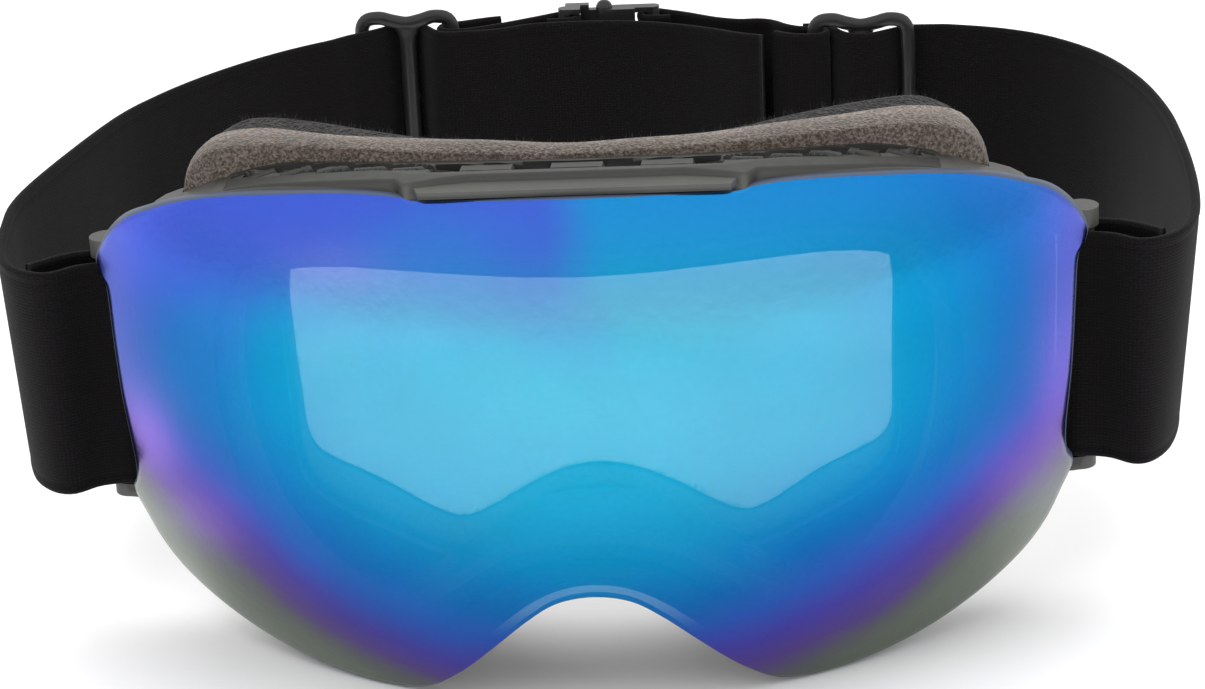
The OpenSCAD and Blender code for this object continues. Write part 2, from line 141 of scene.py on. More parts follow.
# ---------- mesh helpers ----------
def mesh_piece(name, verts, faces, materials, smooth_faces=True, face_material=None, uv=None):
    mesh = bpy.data.meshes.new(name)
    mesh.from_pydata([tuple(v) for v in verts], [], faces)
    for m in materials:
        mesh.materials.append(m)
    for i, poly in enumerate(mesh.polygons):
        poly.use_smooth = smooth_faces
        if face_material:
            poly.material_index = face_material[i]
    if uv:
        layer = mesh.uv_layers.new(name="along")
        for loop in mesh.loops:
            layer.data[loop.index].uv = uv[loop.vertex_index]
    mesh.validate()
    mesh.update()
    obj = bpy.data.objects.new(name, mesh)
    bpy.context.scene.collection.objects.link(obj)
    return obj


def loft_faces(rings, count, closed_rings=False):
    """Quads between consecutive rings of count points each."""
    faces = []
    for r in range(rings if closed_rings else rings - 1):
        n = (r + 1) % rings
        for i in range(count):
            j = (i + 1) % count
            faces.append((r * count + i, r * count + j, n * count + j, n * count + i))
    return faces


def finish_piece(obj, body, replaced=()):
    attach(obj, body)
    if replaced:
        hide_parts(*replaced)
    return obj


def bevelled(obj, width_mm, segments=2, angle=35):
    """Rounds the sharp edges of a piece."""
    mod = obj.modifiers.new("edge", "BEVEL")
    mod.width = width_mm * MM
    mod.segments = segments
    mod.limit_method = "ANGLE"
    mod.angle_limit = math.radians(angle)
    mod.harden_normals = False
    return obj


# ---------- materials ----------
def node_material(name):
    mat = bpy.data.materials.new(name)
    mat.use_nodes = True
    tree = mat.node_tree
    tree.nodes.clear()
    out = tree.nodes.new("ShaderNodeOutputMaterial")
    return mat, tree, out


class Graph:
    """A short way to write shader nodes."""

    def __init__(self, tree):
        self.tree = tree

    def add(self, kind, values=None, **settings):
        n = self.tree.nodes.new(kind)
        for key, value in settings.items():
            setattr(n, key, value)
        for key, value in (values or {}).items():
            if hasattr(value, "is_output"):
                self.tree.links.new(value, n.inputs[key])
            else:
                n.inputs[key].default_value = value
        return n

    def math(self, op, a, b=0.0, clamp=False):
        n = self.add("ShaderNodeMath", {0: a, 1: b}, operation=op)
        n.use_clamp = clamp
        return n.outputs[0]

    def mix(self, fac, a, b, blend="MIX"):
        n = self.add("ShaderNodeMix", data_type="RGBA", blend_type=blend)
        for socket, value in (("Factor", fac), ("A", a), ("B", b)):
            target = [s for s in n.inputs if s.name == socket and s.enabled][0]
            if hasattr(value, "is_output"):
                self.tree.links.new(value, target)
            else:
                target.default_value = value
        return [s for s in n.outputs if s.enabled][0]

    def ramp(self, fac, stops):
        n = self.add("ShaderNodeValToRGB", {"Fac": fac})
        elements = n.color_ramp.elements
        while len(elements) < len(stops):
            elements.new(0.5)
        for e, (pos, colour) in zip(elements, stops):
            e.position = pos
            e.color = colour
        return n.outputs["Color"]

    def step(self, value, lo, hi):
        n = self.add("ShaderNodeMapRange", {"Value": value, "From Min": lo, "From Max": hi},
                     interpolation_type="SMOOTHSTEP")
        return n.outputs["Result"]

    def noise(self, vector, scale, detail=3.0, rough=0.5):
        n = self.add("ShaderNodeTexNoise", {"Vector": vector, "Scale": scale, "Detail": detail,
                                            "Roughness": rough})
        return n.outputs["Fac"]

    def bump(self, height, strength, distance_mm, normal=None):
        values = {"Height": height, "Strength": strength, "Distance": distance_mm * MM}
        if normal is not None:
            values["Normal"] = normal
        return self.add("ShaderNodeBump", values).outputs["Normal"]

    def surface(self, out, shader):
        self.tree.links.new(shader, out.inputs["Surface"])


def rgb(r, g, b):
    """sRGB 0-255 to the linear colour that nodes take."""
    def lin(c):
        c = c / 255
        return c / 12.92 if c <= 0.04045 else ((c + 0.055) / 1.055) ** 2.4
    return (lin(r), lin(g), lin(b), 1.0)


# the mirror coat's pattern: the height of its middle, half its height, and half its width low and high up
COAT_MIDDLE_Z = 10
COAT_HALF_H = 63.5
COAT_HALF_W = (84, 100)
# its colours by distance from the middle, where 1 is the edge of the pattern, and how far the ramp goes
COAT_SPAN = 1.3
COAT_RINGS = [(0.1, rgb(24, 178, 216)), (0.42, rgb(22, 166, 210)), (0.58, rgb(12, 150, 203)),
              (0.76, rgb(16, 118, 196)), (0.88, rgb(46, 94, 190)), (0.98, rgb(74, 66, 174)),
              (1.07, rgb(90, 64, 146)), (1.13, rgb(96, 98, 108)), (1.2, rgb(104, 116, 100))]
# painted highlights, soft violet spots on the coat: x, z, half width, half height and strength
COAT_PAINTED_HIGHLIGHTS = ((-82, -14, 6, 9, 0.6), (-73, -29, 8, 8, 0.35), (85, -10, 5, 18, 0.3), (78, -26, 8, 9, 0.25),
              (-42, 27, 10, 5, 0.2))


def coat_clouds(g, tint, x, z, cloud):
    """Blue towards the top edge, a violet cloud over the upper left and light violet at the upper sides."""
    tint = g.mix(g.math("MULTIPLY", g.step(z, 0.1, 0.45), 0.6), tint, rgb(40, 134, 222))
    left = g.step(g.math("ADD", g.math("MULTIPLY", x, -1.0), g.math("MULTIPLY", cloud, 0.2)), -0.07, 0.05)
    high = g.step(g.math("ADD", z, g.math("MULTIPLY", cloud, 0.6)), -0.02, 0.42)
    tint = g.mix(g.math("MULTIPLY", g.math("MULTIPLY", left, high), 0.85), tint, rgb(74, 90, 218))
    side = g.math("MULTIPLY", g.step(g.math("ABSOLUTE", x), 0.76, 0.92), g.step(z, -0.6, 0.1))
    return g.mix(g.math("MULTIPLY", side, 0.6), tint, rgb(92, 92, 192))


def coat_painted_highlights(g, tint, part):
    for x, z, half_w, half_h, amount in COAT_PAINTED_HIGHLIGHTS:
        spot = place(x, 0, z)
        sx = g.math("DIVIDE", g.math("SUBTRACT", part.outputs["X"], spot.x), half_w * MM)
        sz = g.math("DIVIDE", g.math("SUBTRACT", part.outputs["Z"], spot.z), half_h * MM)
        r2 = g.math("ADD", g.math("MULTIPLY", sx, sx), g.math("MULTIPLY", sz, sz))
        fade = g.math("MULTIPLY", g.math("POWER", math.e, g.math("MULTIPLY", r2, -1.0)), amount)
        # painted highlight: a lighter violet mixed into the coat at each spot
        tint = g.mix(fade, tint, rgb(158, 118, 236))
    return tint


def coat_mottle_and_painted_light(g, tint, where, fine, z):
    """Mottling of the hard coat, and painted light that makes it brighter towards the top."""
    # painted light: the coat is brightened towards the top
    painted_top_light = g.math("ADD", 0.8, g.math("MULTIPLY", g.step(z, -0.05, 0.45), 0.42))
    grain = g.math("SUBTRACT", g.noise(where, 1000.0, 2.0), 0.5)
    mottle = g.math("ADD", g.math("MULTIPLY", fine, 0.14), g.math("MULTIPLY", grain, 0.12))
    mottle = g.math("ADD", mottle, painted_top_light)
    mottle = g.add("ShaderNodeCombineColor", {0: mottle, 1: mottle, 2: mottle}).outputs[0]
    return g.mix(1.0, tint, mottle, "MULTIPLY")


def front_only(g, shader):
    """The shader on the face's front, and nothing on its back."""
    back = g.add("ShaderNodeNewGeometry").outputs["Backfacing"]
    clear = g.add("ShaderNodeBsdfTransparent").outputs[0]
    return g.add("ShaderNodeMixShader", {0: back, 1: shader, 2: clear}).outputs[0]


def lens_coat_material():
    """Multilayer mirror coat: teal in the middle, then blue, violet and at the lowest rims a dull green."""
    mat, tree, out = node_material("lens_coat")
    g = Graph(tree)
    where = g.add("ShaderNodeTexCoord").outputs["Object"]
    part = g.add("ShaderNodeSeparateXYZ", {"Vector": where})
    middle = place(0, 0, COAT_MIDDLE_Z)
    z = g.math("DIVIDE", g.math("SUBTRACT", part.outputs["Z"], middle.z), COAT_HALF_H * MM)
    low_w, high_w = COAT_HALF_W
    half_w = g.math("ADD", g.math("MULTIPLY", g.step(z, -0.7, -0.2), (high_w - low_w) * MM), low_w * MM)
    x = g.math("DIVIDE", part.outputs["X"], half_w)
    cloud = g.math("SUBTRACT", g.noise(where, 22.0, 2.0), 0.5)
    fine = g.math("SUBTRACT", g.noise(where, 70.0, 3.0), 0.5)
    wobble = g.math("ADD", g.math("MULTIPLY", cloud, 0.2), g.math("MULTIPLY", fine, 0.05))
    plain = g.math("SQRT", g.math("ADD", g.math("MULTIPLY", x, x), g.math("MULTIPLY", z, z)))
    reach = g.math("DIVIDE", g.math("ADD", plain, wobble), COAT_SPAN)
    tint = g.ramp(reach, [(at / COAT_SPAN, colour) for at, colour in COAT_RINGS])
    tint = coat_clouds(g, tint, x, z, cloud)
    tint = coat_painted_highlights(g, tint, part)
    tint = coat_mottle_and_painted_light(g, tint, where, fine, z)
    peel = g.bump(g.noise(where, 420.0, 2.0), 0.25, 0.12, g.bump(g.noise(where, 60.0, 1.0), 0.2, 0.3))
    mirror = g.add("ShaderNodeBsdfPrincipled", {
        "Base Color": tint, "Metallic": 1.0, "Roughness": 0.2, "Coat Weight": 0.03, "Coat Roughness": 0.05,
        "Normal": peel}).outputs[0]
    through = g.add("ShaderNodeBsdfTransparent", {"Color": (0.8, 0.95, 0.95, 1.0)}).outputs[0]
    # the lens lets a little light through, and its margin outside the opening lets through none
    clearness = g.math("MULTIPLY", g.math("SUBTRACT", 1.0, g.step(plain, 0.74, 0.9)), 0.125)
    body = g.add("ShaderNodeMixShader", {0: clearness, 1: mirror, 2: through}).outputs[0]
    g.surface(out, front_only(g, body))
    return mat


def clear_lens_material(name, tint, shine=0.05):
    """Clear polycarbonate seen from either side, with a weak reflection."""
    mat, tree, out = node_material(name)
    g = Graph(tree)
    gloss = g.add("ShaderNodeBsdfGlossy", {"Color": (0.9, 0.92, 0.95, 1), "Roughness": 0.05}).outputs[0]
    clear = g.add("ShaderNodeBsdfTransparent", {"Color": tint}).outputs[0]
    both = g.add("ShaderNodeMixShader", {0: shine, 1: clear, 2: gloss}).outputs[0]
    g.surface(out, front_only(g, both))
    return mat


def plastic_material(name, colour, rough, grain=900.0, depth=0.05, edge_highlight=None):
    """Moulded plastic: fine surface grain, slight mottling and painted highlights on the edges."""
    mat, tree, out = node_material(name)
    g = Graph(tree)
    where = g.add("ShaderNodeTexCoord").outputs["Object"]
    mottle = g.noise(where, 90.0, 3.0)
    dark = tuple(c * 0.8 for c in colour[:3]) + (1.0,)
    light = tuple(min(c * 1.25, 1) for c in colour[:3]) + (1.0,)
    tint = g.mix(mottle, dark, light)
    if edge_highlight:
        # painted highlight: a lighter colour on the sharp edges
        edge = g.add("ShaderNodeNewGeometry").outputs["Pointiness"]
        tint = g.mix(g.step(edge, 0.52, 0.6), tint, edge_highlight)
    roughness = g.math("ADD", g.math("MULTIPLY", g.noise(where, 300.0, 2.0), 0.2), rough - 0.1)
    shader = g.add("ShaderNodeBsdfPrincipled", {
        "Base Color": tint, "Roughness": roughness, "Normal": g.bump(g.noise(where, grain, 3.0), 0.5, depth)})
    g.surface(out, shader.outputs[0])
    return mat


def painted_shade_from_rim(g, where, near_mm, far_mm):
    """Weight of the foam's painted shade: 1 at the foam's rim side, falling to 0 over a stretch towards the
    face.
    """
    part = g.add("ShaderNodeSeparateXYZ", {"Vector": where})
    start = place(0, RIM_Y, TILT_TOP)
    back = g.math("SUBTRACT", part.outputs["Y"], start.y)
    lean = g.math("MULTIPLY", g.math("SUBTRACT", part.outputs["Z"], start.z), math.tan(FACE_TILT))
    curve = g.math("DIVIDE", g.math("MULTIPLY", part.outputs["X"], part.outputs["X"]), 2 * RIM_BOW_R * MM)
    depth = g.math("SUBTRACT", g.math("ADD", back, lean), curve)
    return g.math("SUBTRACT", 1.0, g.step(depth, near_mm * MM, far_mm * MM))


def foam_material(name, light, dark, cell=1500.0, depth=0.35, painted_rim_shade=0.0, sheen=0.35):
    """Open-cell foam: pores and pale and dark specks, and painted shade towards the rim when asked."""
    mat, tree, out = node_material(name)
    g = Graph(tree)
    where = g.add("ShaderNodeTexCoord").outputs["Object"]
    cells = g.add("ShaderNodeTexVoronoi", {"Vector": where, "Scale": cell}, feature="F1").outputs["Distance"]
    speck = g.noise(where, cell * 0.9, 3.0, 0.7)
    blotch = g.noise(where, 120.0, 3.0)
    tint = g.mix(g.step(speck, 0.38, 0.66), dark, light)
    tint = g.mix(g.math("MULTIPLY", g.step(blotch, 0.35, 0.75), 0.35), tint, dark)
    # painted shade: the foam darkens towards the frame's rim, where its lower part is out of the light
    if painted_rim_shade:
        painted_deep_shade = tuple(c * 0.55 for c in dark[:3]) + (1.0,)
        tint = g.mix(g.math("MULTIPLY", painted_shade_from_rim(g, where, 2.0, 10.0), painted_rim_shade), tint, painted_deep_shade)
    height = g.math("ADD", cells, g.math("MULTIPLY", speck, 0.6))
    shader = g.add("ShaderNodeBsdfPrincipled", {
        "Base Color": tint, "Roughness": 0.95, "Sheen Weight": sheen, "Sheen Roughness": 0.6,
        "Specular IOR Level": 0.15, "Normal": g.bump(height, 0.9, depth)})
    g.surface(out, shader.outputs[0])
    return mat


# spacing of the webbing's courses and wales
COURSE_MM = 0.75
WALE_MM = 0.62


def webbing_material():
    """Black knitted elastic: fine wales along the strap, courses across, rubber threads showing faintly."""
    mat, tree, out = node_material("webbing")
    g = Graph(tree)
    uv = g.add("ShaderNodeUVMap", uv_map="along").outputs["UV"]
    part = g.add("ShaderNodeSeparateXYZ", {"Vector": uv})
    along = g.math("MULTIPLY", part.outputs["X"], 2 * math.pi / COURSE_MM)
    across = g.math("MULTIPLY", part.outputs["Y"], 2 * math.pi / WALE_MM)
    rows = g.math("SINE", along)
    wales = g.math("SINE", across)
    knit = g.math("MULTIPLY", rows, wales)
    height = g.math("ADD", g.math("MULTIPLY", knit, 0.5), g.math("MULTIPLY", wales, 0.35))
    fuzz = g.noise(uv, 2.4, 4.0, 0.7)
    height = g.math("ADD", height, g.math("MULTIPLY", fuzz, 1.4))
    tint = g.mix(g.step(fuzz, 0.35, 0.75), rgb(5, 4, 5), rgb(20, 17, 19))
    tint = g.mix(g.math("MULTIPLY", g.step(height, 0.7, 1.6), 0.3), tint, rgb(34, 31, 33))
    shader = g.add("ShaderNodeBsdfPrincipled", {
        "Base Color": tint, "Roughness": 0.9, "Sheen Weight": 0.04, "Sheen Roughness": 0.5,
        "Specular IOR Level": 0.15, "Normal": g.bump(height, 0.55, 0.14)})
    g.surface(out, shader.outputs[0])
    return mat


def metal_material(name, colour, rough=0.3):
    mat, tree, out = node_material(name)
    g = Graph(tree)
    where = g.add("ShaderNodeTexCoord").outputs["Object"]
    roughness = g.math("ADD", g.math("MULTIPLY", g.noise(where, 600.0, 2.0), 0.2), rough - 0.1)
    shader = g.add("ShaderNodeBsdfPrincipled", {"Base Color": colour, "Metallic": 1.0,
                                                "Roughness": roughness})
    g.surface(out, shader.outputs[0])
    return mat


COAT = lens_coat_material()
LENS_INSIDE = clear_lens_material("lens_inside", (0.42, 0.37, 0.4, 1), 0.12)
CLEAR = clear_lens_material("clear_lens", (0.94, 0.96, 0.96, 1), 0.04)
LENS_EDGE = plastic_material("lens_edge", rgb(58, 70, 92), 0.45)
# the frame plastic carries a painted highlight on its edges
FRAME_MAT = plastic_material("frame_plastic", rgb(42, 42, 40), 0.5, edge_highlight=rgb(72, 72, 69))
DARK_PLASTIC = plastic_material("lens_ring", rgb(26, 26, 28), 0.5)
# near-black plastic painted on the recess floors and walls as shade
RECESS_SHADE_MAT = plastic_material("louvre_recess_painted_shade", rgb(12, 12, 12), 0.7)
# the slider plastic carries a painted highlight on its edges
SLIDER_MAT = plastic_material("slider_plastic", rgb(30, 30, 30), 0.32, edge_highlight=rgb(46, 46, 46))
# the face foam gets painted shade towards the rim
FOAM_MAT = foam_material("face_foam", rgb(160, 147, 136), rgb(66, 55, 47), 1700.0, painted_rim_shade=0.6, sheen=0.2)
LINING_MAT = foam_material("fleece", rgb(60, 58, 57), rgb(24, 23, 23), 1400.0, 0.5, sheen=0.08)
VENT_MAT = foam_material("vent_foam", rgb(40, 40, 41), rgb(12, 12, 12), 900.0, 0.5)
SPACER_MAT = foam_material("spacer_foam", rgb(34, 34, 35), rgb(12, 12, 13), 1600.0)
WEBBING = webbing_material()
MAGNET_MAT = metal_material("magnet", rgb(170, 170, 172), 0.25)
PIN_MAT = metal_material("pin_steel", rgb(150, 152, 155), 0.3)


# ---------- lens ----------
LENS_HALF = [(0, 39.9), (15, 39.7), (26.5, 39.2), (30, 39.6), (36, 39.7), (46, 38.8), (60, 36.4), (71, 33.2),
             (79, 29.4), (84, 26.2), (88, 21.8), (90.6, 17), (90.2, 14.6), (88.6, 12.4), (88, 5), (87.4, -8),
             (86.6, -20), (87, -26.5), (88.6, -31), (86.6, -36), (84, -42), (80, -47.2), (74, -51.6),
             (68, -54.8), (62, -57.4), (55, -59.6), (47, -61.1), (40, LENS_LOW), (34.5, -60.9), (31, -59.4),
             (28, -56.8), (24, -52.8), (18, -46), (12, -39.6), (6.5, -35.4), (0, -34)]


LENS_EDGE_ROUND = 0.45
# how far the lens's rings of points stand from its middle, as shares of the outline
LENS_RINGS = [0.996, 0.985, 0.96, 0.92] + [0.86 - 0.07 * i for i in range(12)]


def on_ball(x, z, r):
    """The front of a ball of radius r about the lens's centre, at x and z."""
    return LENS_R - math.sqrt(max(r * r - x * x - z * z, 0.0))


def build_lens():
    """Rings of points shrinking towards the middle, over the outer ball and then over the inner one."""
    line = smooth(whole(LENS_HALF), 8, closed=True)
    count = len(line)
    middle = Vector((0, 2))
    inner_r = LENS_R - LENS_T
    steps = ([(scale, LENS_R) for scale in reversed(LENS_RINGS)]
             + [(1.0, LENS_R - LENS_EDGE_ROUND), (1.0, inner_r + LENS_EDGE_ROUND)]
             + [(scale, inner_r) for scale in LENS_RINGS])
    verts = []
    for scale, r in steps:
        for p in line:
            q = middle + (p - middle) * scale
            verts.append(place(q.x, on_ball(q.x, q.y, r), q.y))
    first_edge = len(LENS_RINGS) - 1
    faces, kinds = [], []
    for k in range(len(steps) - 1):
        for i in range(count):
            j = (i + 1) % count
            faces.append((k * count + i, k * count + j, (k + 1) * count + j, (k + 1) * count + i))
            kinds.append(0 if k < first_edge else (2 if k <= first_edge + 2 else 1))
    for base, r, kind in ((0, LENS_R, 0), ((len(steps) - 1) * count, inner_r, 1)):
        tip = len(verts)
        verts.append(place(middle.x, on_ball(middle.x, middle.y, r), middle.y))
        for i in range(count):
            j = (i + 1) % count
            faces.append((base + i, base + j, tip) if kind else (base + j, base + i, tip))
            kinds.append(kind)
    lens = mesh_piece("mirror_lens", verts, faces, [COAT, LENS_INSIDE, LENS_EDGE], face_material=kinds)
    finish_piece(lens, "lens", ["outer_lens"])


build_lens()

# CAD nodes that stay as they are
KEPT = {"lens_carrier": DARK_PLASTIC, "lens_magnets": MAGNET_MAT, "frame_magnets": MAGNET_MAT,
        "lens_spacer": SPACER_MAT, "inner_lens": CLEAR, "left_hinge_pin": PIN_MAT, "right_hinge_pin": PIN_MAT,
        "top_vent_foam": VENT_MAT, "bottom_vent_foam": VENT_MAT, "frame": FRAME_MAT,
        "left_arm": FRAME_MAT, "right_arm": FRAME_MAT, "clasp_hook": SLIDER_MAT, "clasp_bar": SLIDER_MAT}
ROUNDED = {"left_arm": 0.7, "right_arm": 0.7, "clasp_hook": 0.25, "clasp_bar": 0.25, "frame": 0.35}
for node_name, material in KEPT.items():
    node_mesh = NODES[node_name].data
    node_mesh.materials.clear()
    node_mesh.materials.append(material)
for node_name, width in ROUNDED.items():
    bevelled(NODES[node_name], width)


# ---------- planes of the face side ----------
def bow(x, radius=RIM_BOW_R):
    return radius - math.sqrt(radius * radius - x * x)


def leaning(x, z, curve_y, start_y):
    """Depth at x and z of a plan curve swept along the face side's lean."""
    return start_y + curve_y / math.cos(FACE_TILT) - math.tan(FACE_TILT) * (z - TILT_TOP)


FOAM_BACK_HALF = [(0, 0), (18, 1.7), (33, 5.6), (43, 9.6), (50, 12.8), (55, 13.8), (60, 12.6), (65, 8),
                  (69, 0), (71.5, -10), (76, -30)]
FOAM_BACK = smooth([(-x, y) for x, y in FOAM_BACK_HALF[2:0:-1]] + FOAM_BACK_HALF, 6)


def foam_back_y(x):
    """The foam's back curve in plan, the same on both sides."""
    x = abs(x)
    for a, b in zip(FOAM_BACK, FOAM_BACK[1:]):
        if a.x <= x <= b.x:
            return a.y + (b.y - a.y) * (x - a.x) / (b.x - a.x)
    return FOAM_BACK[-1].y


def rim_depth(x, z, extra=0.0):
    return leaning(x, z, bow(x), RIM_Y + extra)


def face_depth(x, z, extra=0.0):
    return leaning(x, z, foam_back_y(x), FOAM_Y + extra)


# ---------- face foam ----------
FOAM_HALF = [(0, 40.6), (26, 41.2), (50, 41.8), (63, 40.6), (70, 36.4), (72.6, 26), (73, 8), (72.6, -10),
             (70.6, -25), (65.5, -38), (57, -46.5), (46, -50.5), (38, -51), (31.5, -49.4), (24.5, -45),
             (17.5, -39.4), (10, -35), (0, -33.2)]
FOAM_HOLE_HALF = [(0, 28.6), (26, 29), (44, 27.6), (52, 23), (54.6, 13), (55, 0), (55, -12), (54.8, -22),
                  (52.6, -28), (46.5, -32.4), (39, -36), (32, -39.4), (26.5, -40.6), (20.6, -37.6),
                  (14, -32.8), (7, -28.6), (0, -27.2)]
RING_HALF = 130


def ring_points(half):
    """Evenly spaced points round an outline, with its top and bottom centres always on the same steps."""
    steps = 8
    past_top = (-half[1][0], half[1][1])
    past_bottom = (-half[-2][0], half[-2][1])
    curve = smooth([past_top] + half + [past_bottom], steps)[steps:-steps]
    right = resample(curve, RING_HALF + 1)
    return right + [Vector((-p.x, p.y)) for p in right[-2:0:-1]]


FOAM_OUTER = ring_points(FOAM_HALF)
FOAM_INNER = ring_points(FOAM_HOLE_HALF)


def foam_crown(width, depth, r_out, r_in, wrap):
    """Points (in from the outer side, back from the front) over the back, starting wrap mm down each side."""
    pts = []
    first = math.asin(max(1 - wrap / r_out, 0))
    for k in range(9):
        a = first + (math.pi / 2 - first) * k / 8
        pts.append((r_out * (1 - math.cos(a)), depth - r_out * (1 - math.sin(a))))
    for k in range(1, 6):
        t = k / 6
        pts.append((r_out + (width - r_out - r_in) * t, depth + 0.35 * math.sin(math.pi * t)))
    last = math.acos(max(1 - wrap / r_in, 0))
    for k in range(8):
        a = last * k / 7
        pts.append((width - r_in * (1 - math.sin(a)), depth - r_in * (1 - math.cos(a))))
    return pts


def foam_outline(width, depth, r_out, r_in, swell=0.6):
    """The foam's section from its outer front corner round the back to its inner front corner."""
    outer = []
    for k in range(7):
        d = (depth - r_out) * k / 7
        outer.append((-swell * math.sin(math.pi * k / 7), d))
    crown = foam_crown(width, depth, r_out, r_in, max(r_out, r_in))
    inner = [(width, (depth - r_in) * (1 - k / 4)) for k in range(1, 5)]
    return outer + crown + inner


WAVES_PER_M = 55.0


def foam_point(index, inward, back, front_extra, waviness):
    """A foam point: inward mm from the outer side and back mm behind the foam's front."""
    outer, inner = FOAM_OUTER[index], FOAM_INNER[index]
    direction = (inner - outer).normalized()
    q = outer + direction * inward
    y = rim_depth(q.x, q.y, front_extra) + back
    p = place(q.x, y, q.y)
    return p + noise.noise_vector(p * WAVES_PER_M) * waviness * MM


# the foam starts just behind the frame's rim, and the fleece is measured from behind the dense layer
PAD_FRONT = 0.15
LINING_FRONT = FOAM_BASE_T + 0.2
WAVINESS = 0.5
SHOULDER = 5.0
INNER_ROUND = 3.5
WRAP = 1.6
TEMPLE_PAD = 3.6
FLEECE_RISE = 2.6
# how far the fleece reaches into the foam
FLEECE_BITE = 0.25


def temple(index):
    """1 over the temples, where the fleece is padded out and stands up behind the foam."""
    p = FOAM_OUTER[index]
    return smoothstep(26, 50, abs(p.x)) * (1 - smoothstep(60, 70, abs(p.x))) * smoothstep(10, 34, p.y)


def fleece_depth(index):
    return LINING_T + TEMPLE_PAD * temple(index)


def foam_sizes(index, front_extra):
    """Width of the foam here, and its depth up to the fleece."""
    outer, inner = FOAM_OUTER[index], FOAM_INNER[index]
    width = (inner - outer).length
    middle = outer.lerp(inner, 0.5)
    depth = face_depth(middle.x, middle.y, -fleece_depth(index)) - rim_depth(middle.x, middle.y, front_extra)
    return width, depth


def foam_loop(name, sections, material, replaced):
    """A closed ring from one closed section per step round the foam."""
    verts = [v for section in sections for v in section]
    size = len(sections[0])
    faces = loft_faces(len(sections), size, closed_rings=True)
    obj = mesh_piece(name, verts, [tuple(reversed(f)) for f in faces], [material])
    return finish_piece(obj, "frame", replaced)


def build_face_foam():
    """The dense layer and the soft foam, which show no line between them."""
    sections = []
    for i in range(len(FOAM_OUTER)):
        width, depth = foam_sizes(i, PAD_FRONT)
        sections.append([foam_point(i, u, d, PAD_FRONT, WAVINESS * min(d / 4, 1))
                         for u, d in foam_outline(width, depth, SHOULDER, INNER_ROUND)])
    foam_loop("face_foam_pad", sections, FOAM_MAT, ["face_foam", "foam_base"])


def build_lining():
    """Fleece over the back of the foam, thinning out towards the sides. Returns its face side's points."""
    sections, pile_base = [], []
    for i in range(len(FOAM_OUTER)):
        width, depth = foam_sizes(i, LINING_FRONT)
        under = foam_crown(width, depth, SHOULDER, INNER_ROUND, WRAP)
        count = len(under)
        over = []
        for k, (u, d) in enumerate(under):
            t = k / (count - 1)
            rise = (4 * t * (1 - t)) ** 0.4
            stand = FLEECE_RISE * temple(i) * max(1 - 2 * t, 0.0)
            over.append((u - (0.5 * (1 - 2 * t) + stand) * rise, d + fleece_depth(i) * rise))
        section = [foam_point(i, u, d, LINING_FRONT, WAVINESS) for u, d in over]
        section += [foam_point(i, u, d - FLEECE_BITE, LINING_FRONT, WAVINESS) for u, d in reversed(under)]
        sections.append(section)
        pile_base.append(section[:count])
    foam_loop("fleece_lining", sections, LINING_MAT, ["foam_lining"])
    return pile_base


FIBRES = 9000
FIBRE_LENGTH = (0.6, 1.9)
FIBRE_R = 0.07
FIBRE_ROOT = 0.3
FIBRE_LEAN = 0.9


def build_pile(pile_base):
    """Loose fibres standing off the fleece, each a thin three-sided spike."""
    rng = random.Random(7)
    verts, faces = [], []
    rings = len(pile_base)
    size = len(pile_base[0])
    for _ in range(FIBRES):
        i = rng.randrange(rings)
        k = rng.randrange(1, size - 2)
        a, b, c = pile_base[i][k], pile_base[i][k + 1], pile_base[(i + 1) % rings][k]
        root = a + (b - a) * rng.random() + (c - a) * rng.random()
        normal = (b - a).cross(c - a).normalized()
        if normal.dot(root - (pile_base[i][size // 2] - Vector((0, 0.02, 0)))) < 0:
            normal = -normal
        lean = Vector((rng.uniform(-1, 1), rng.uniform(-1, 1), rng.uniform(-1, 1))) * FIBRE_LEAN
        tip = root + (normal + lean).normalized() * rng.uniform(*FIBRE_LENGTH) * MM
        side = normal.cross(Vector((0.3, 0.5, 0.8))).normalized() * FIBRE_R * MM
        other = normal.cross(side).normalized() * FIBRE_R * MM
        foot = root - normal * FIBRE_ROOT * MM
        base = len(verts)
        verts += [foot + side, foot - side * 0.5 + other, foot - side * 0.5 - other, tip]
        faces += [(base, base + 1, base + 3), (base + 1, base + 2, base + 3), (base + 2, base, base + 3),
                  (base + 2, base + 1, base)]
    pile = mesh_piece("fleece_pile", verts, faces, [LINING_MAT], smooth_faces=False)
    finish_piece(pile, "frame")


build_face_foam()
build_pile(build_lining())


# ---------- vented deck over the brow ----------
WALL_TOP = smooth([(0, 41), (22, 40.8), (34, 39.8), (46, 38.2), (57, 36), (66, 32.4), (71.4, 25.4)], 6)
LENS_TOP = smooth(LENS_HALF[:9], 6)
DECK_Z = 40.8
DECK_SLOPE = math.tan(math.radians(10))
DECK_START = 15.0
DECK_END = 66.0
DECK_FADE = 4.0
DECK_GRID = (330, 44)
STEP_Y = 13.4
STEP_HALF = 18.5
LIP_HALF = 28.5
CARRIER_R = LENS_R - LENS_T - 0.1
WINDOW_X = 7.8
WINDOW_HALF = 3.15
WINDOW_Y = (20.0, 25.4)
BLOCK_Y = 21.2
BLOCK_HALF = (4.45, 2.6)
CHANNEL_HALF = 24.5
CHANNEL_Y = (17.2, 25.2)
# height of the relief over the plain deck, and the width of its sloping edges
DECK_LOW = 0.12
DECK_HIGH = 1.5
DECK_SOFT = 0.45
SLIT = ((20.9, 21.6), (26.2, 25.0), (20.9, 25.2))
LOUVRES = [(30.5 + 6.8 * i, 25.4 + (1.4 + 0.2 * i) * i) for i in range(5)]
LOUVRE_TURN = math.radians(18)
LOUVRE_HALF = (2.3, 1.0)
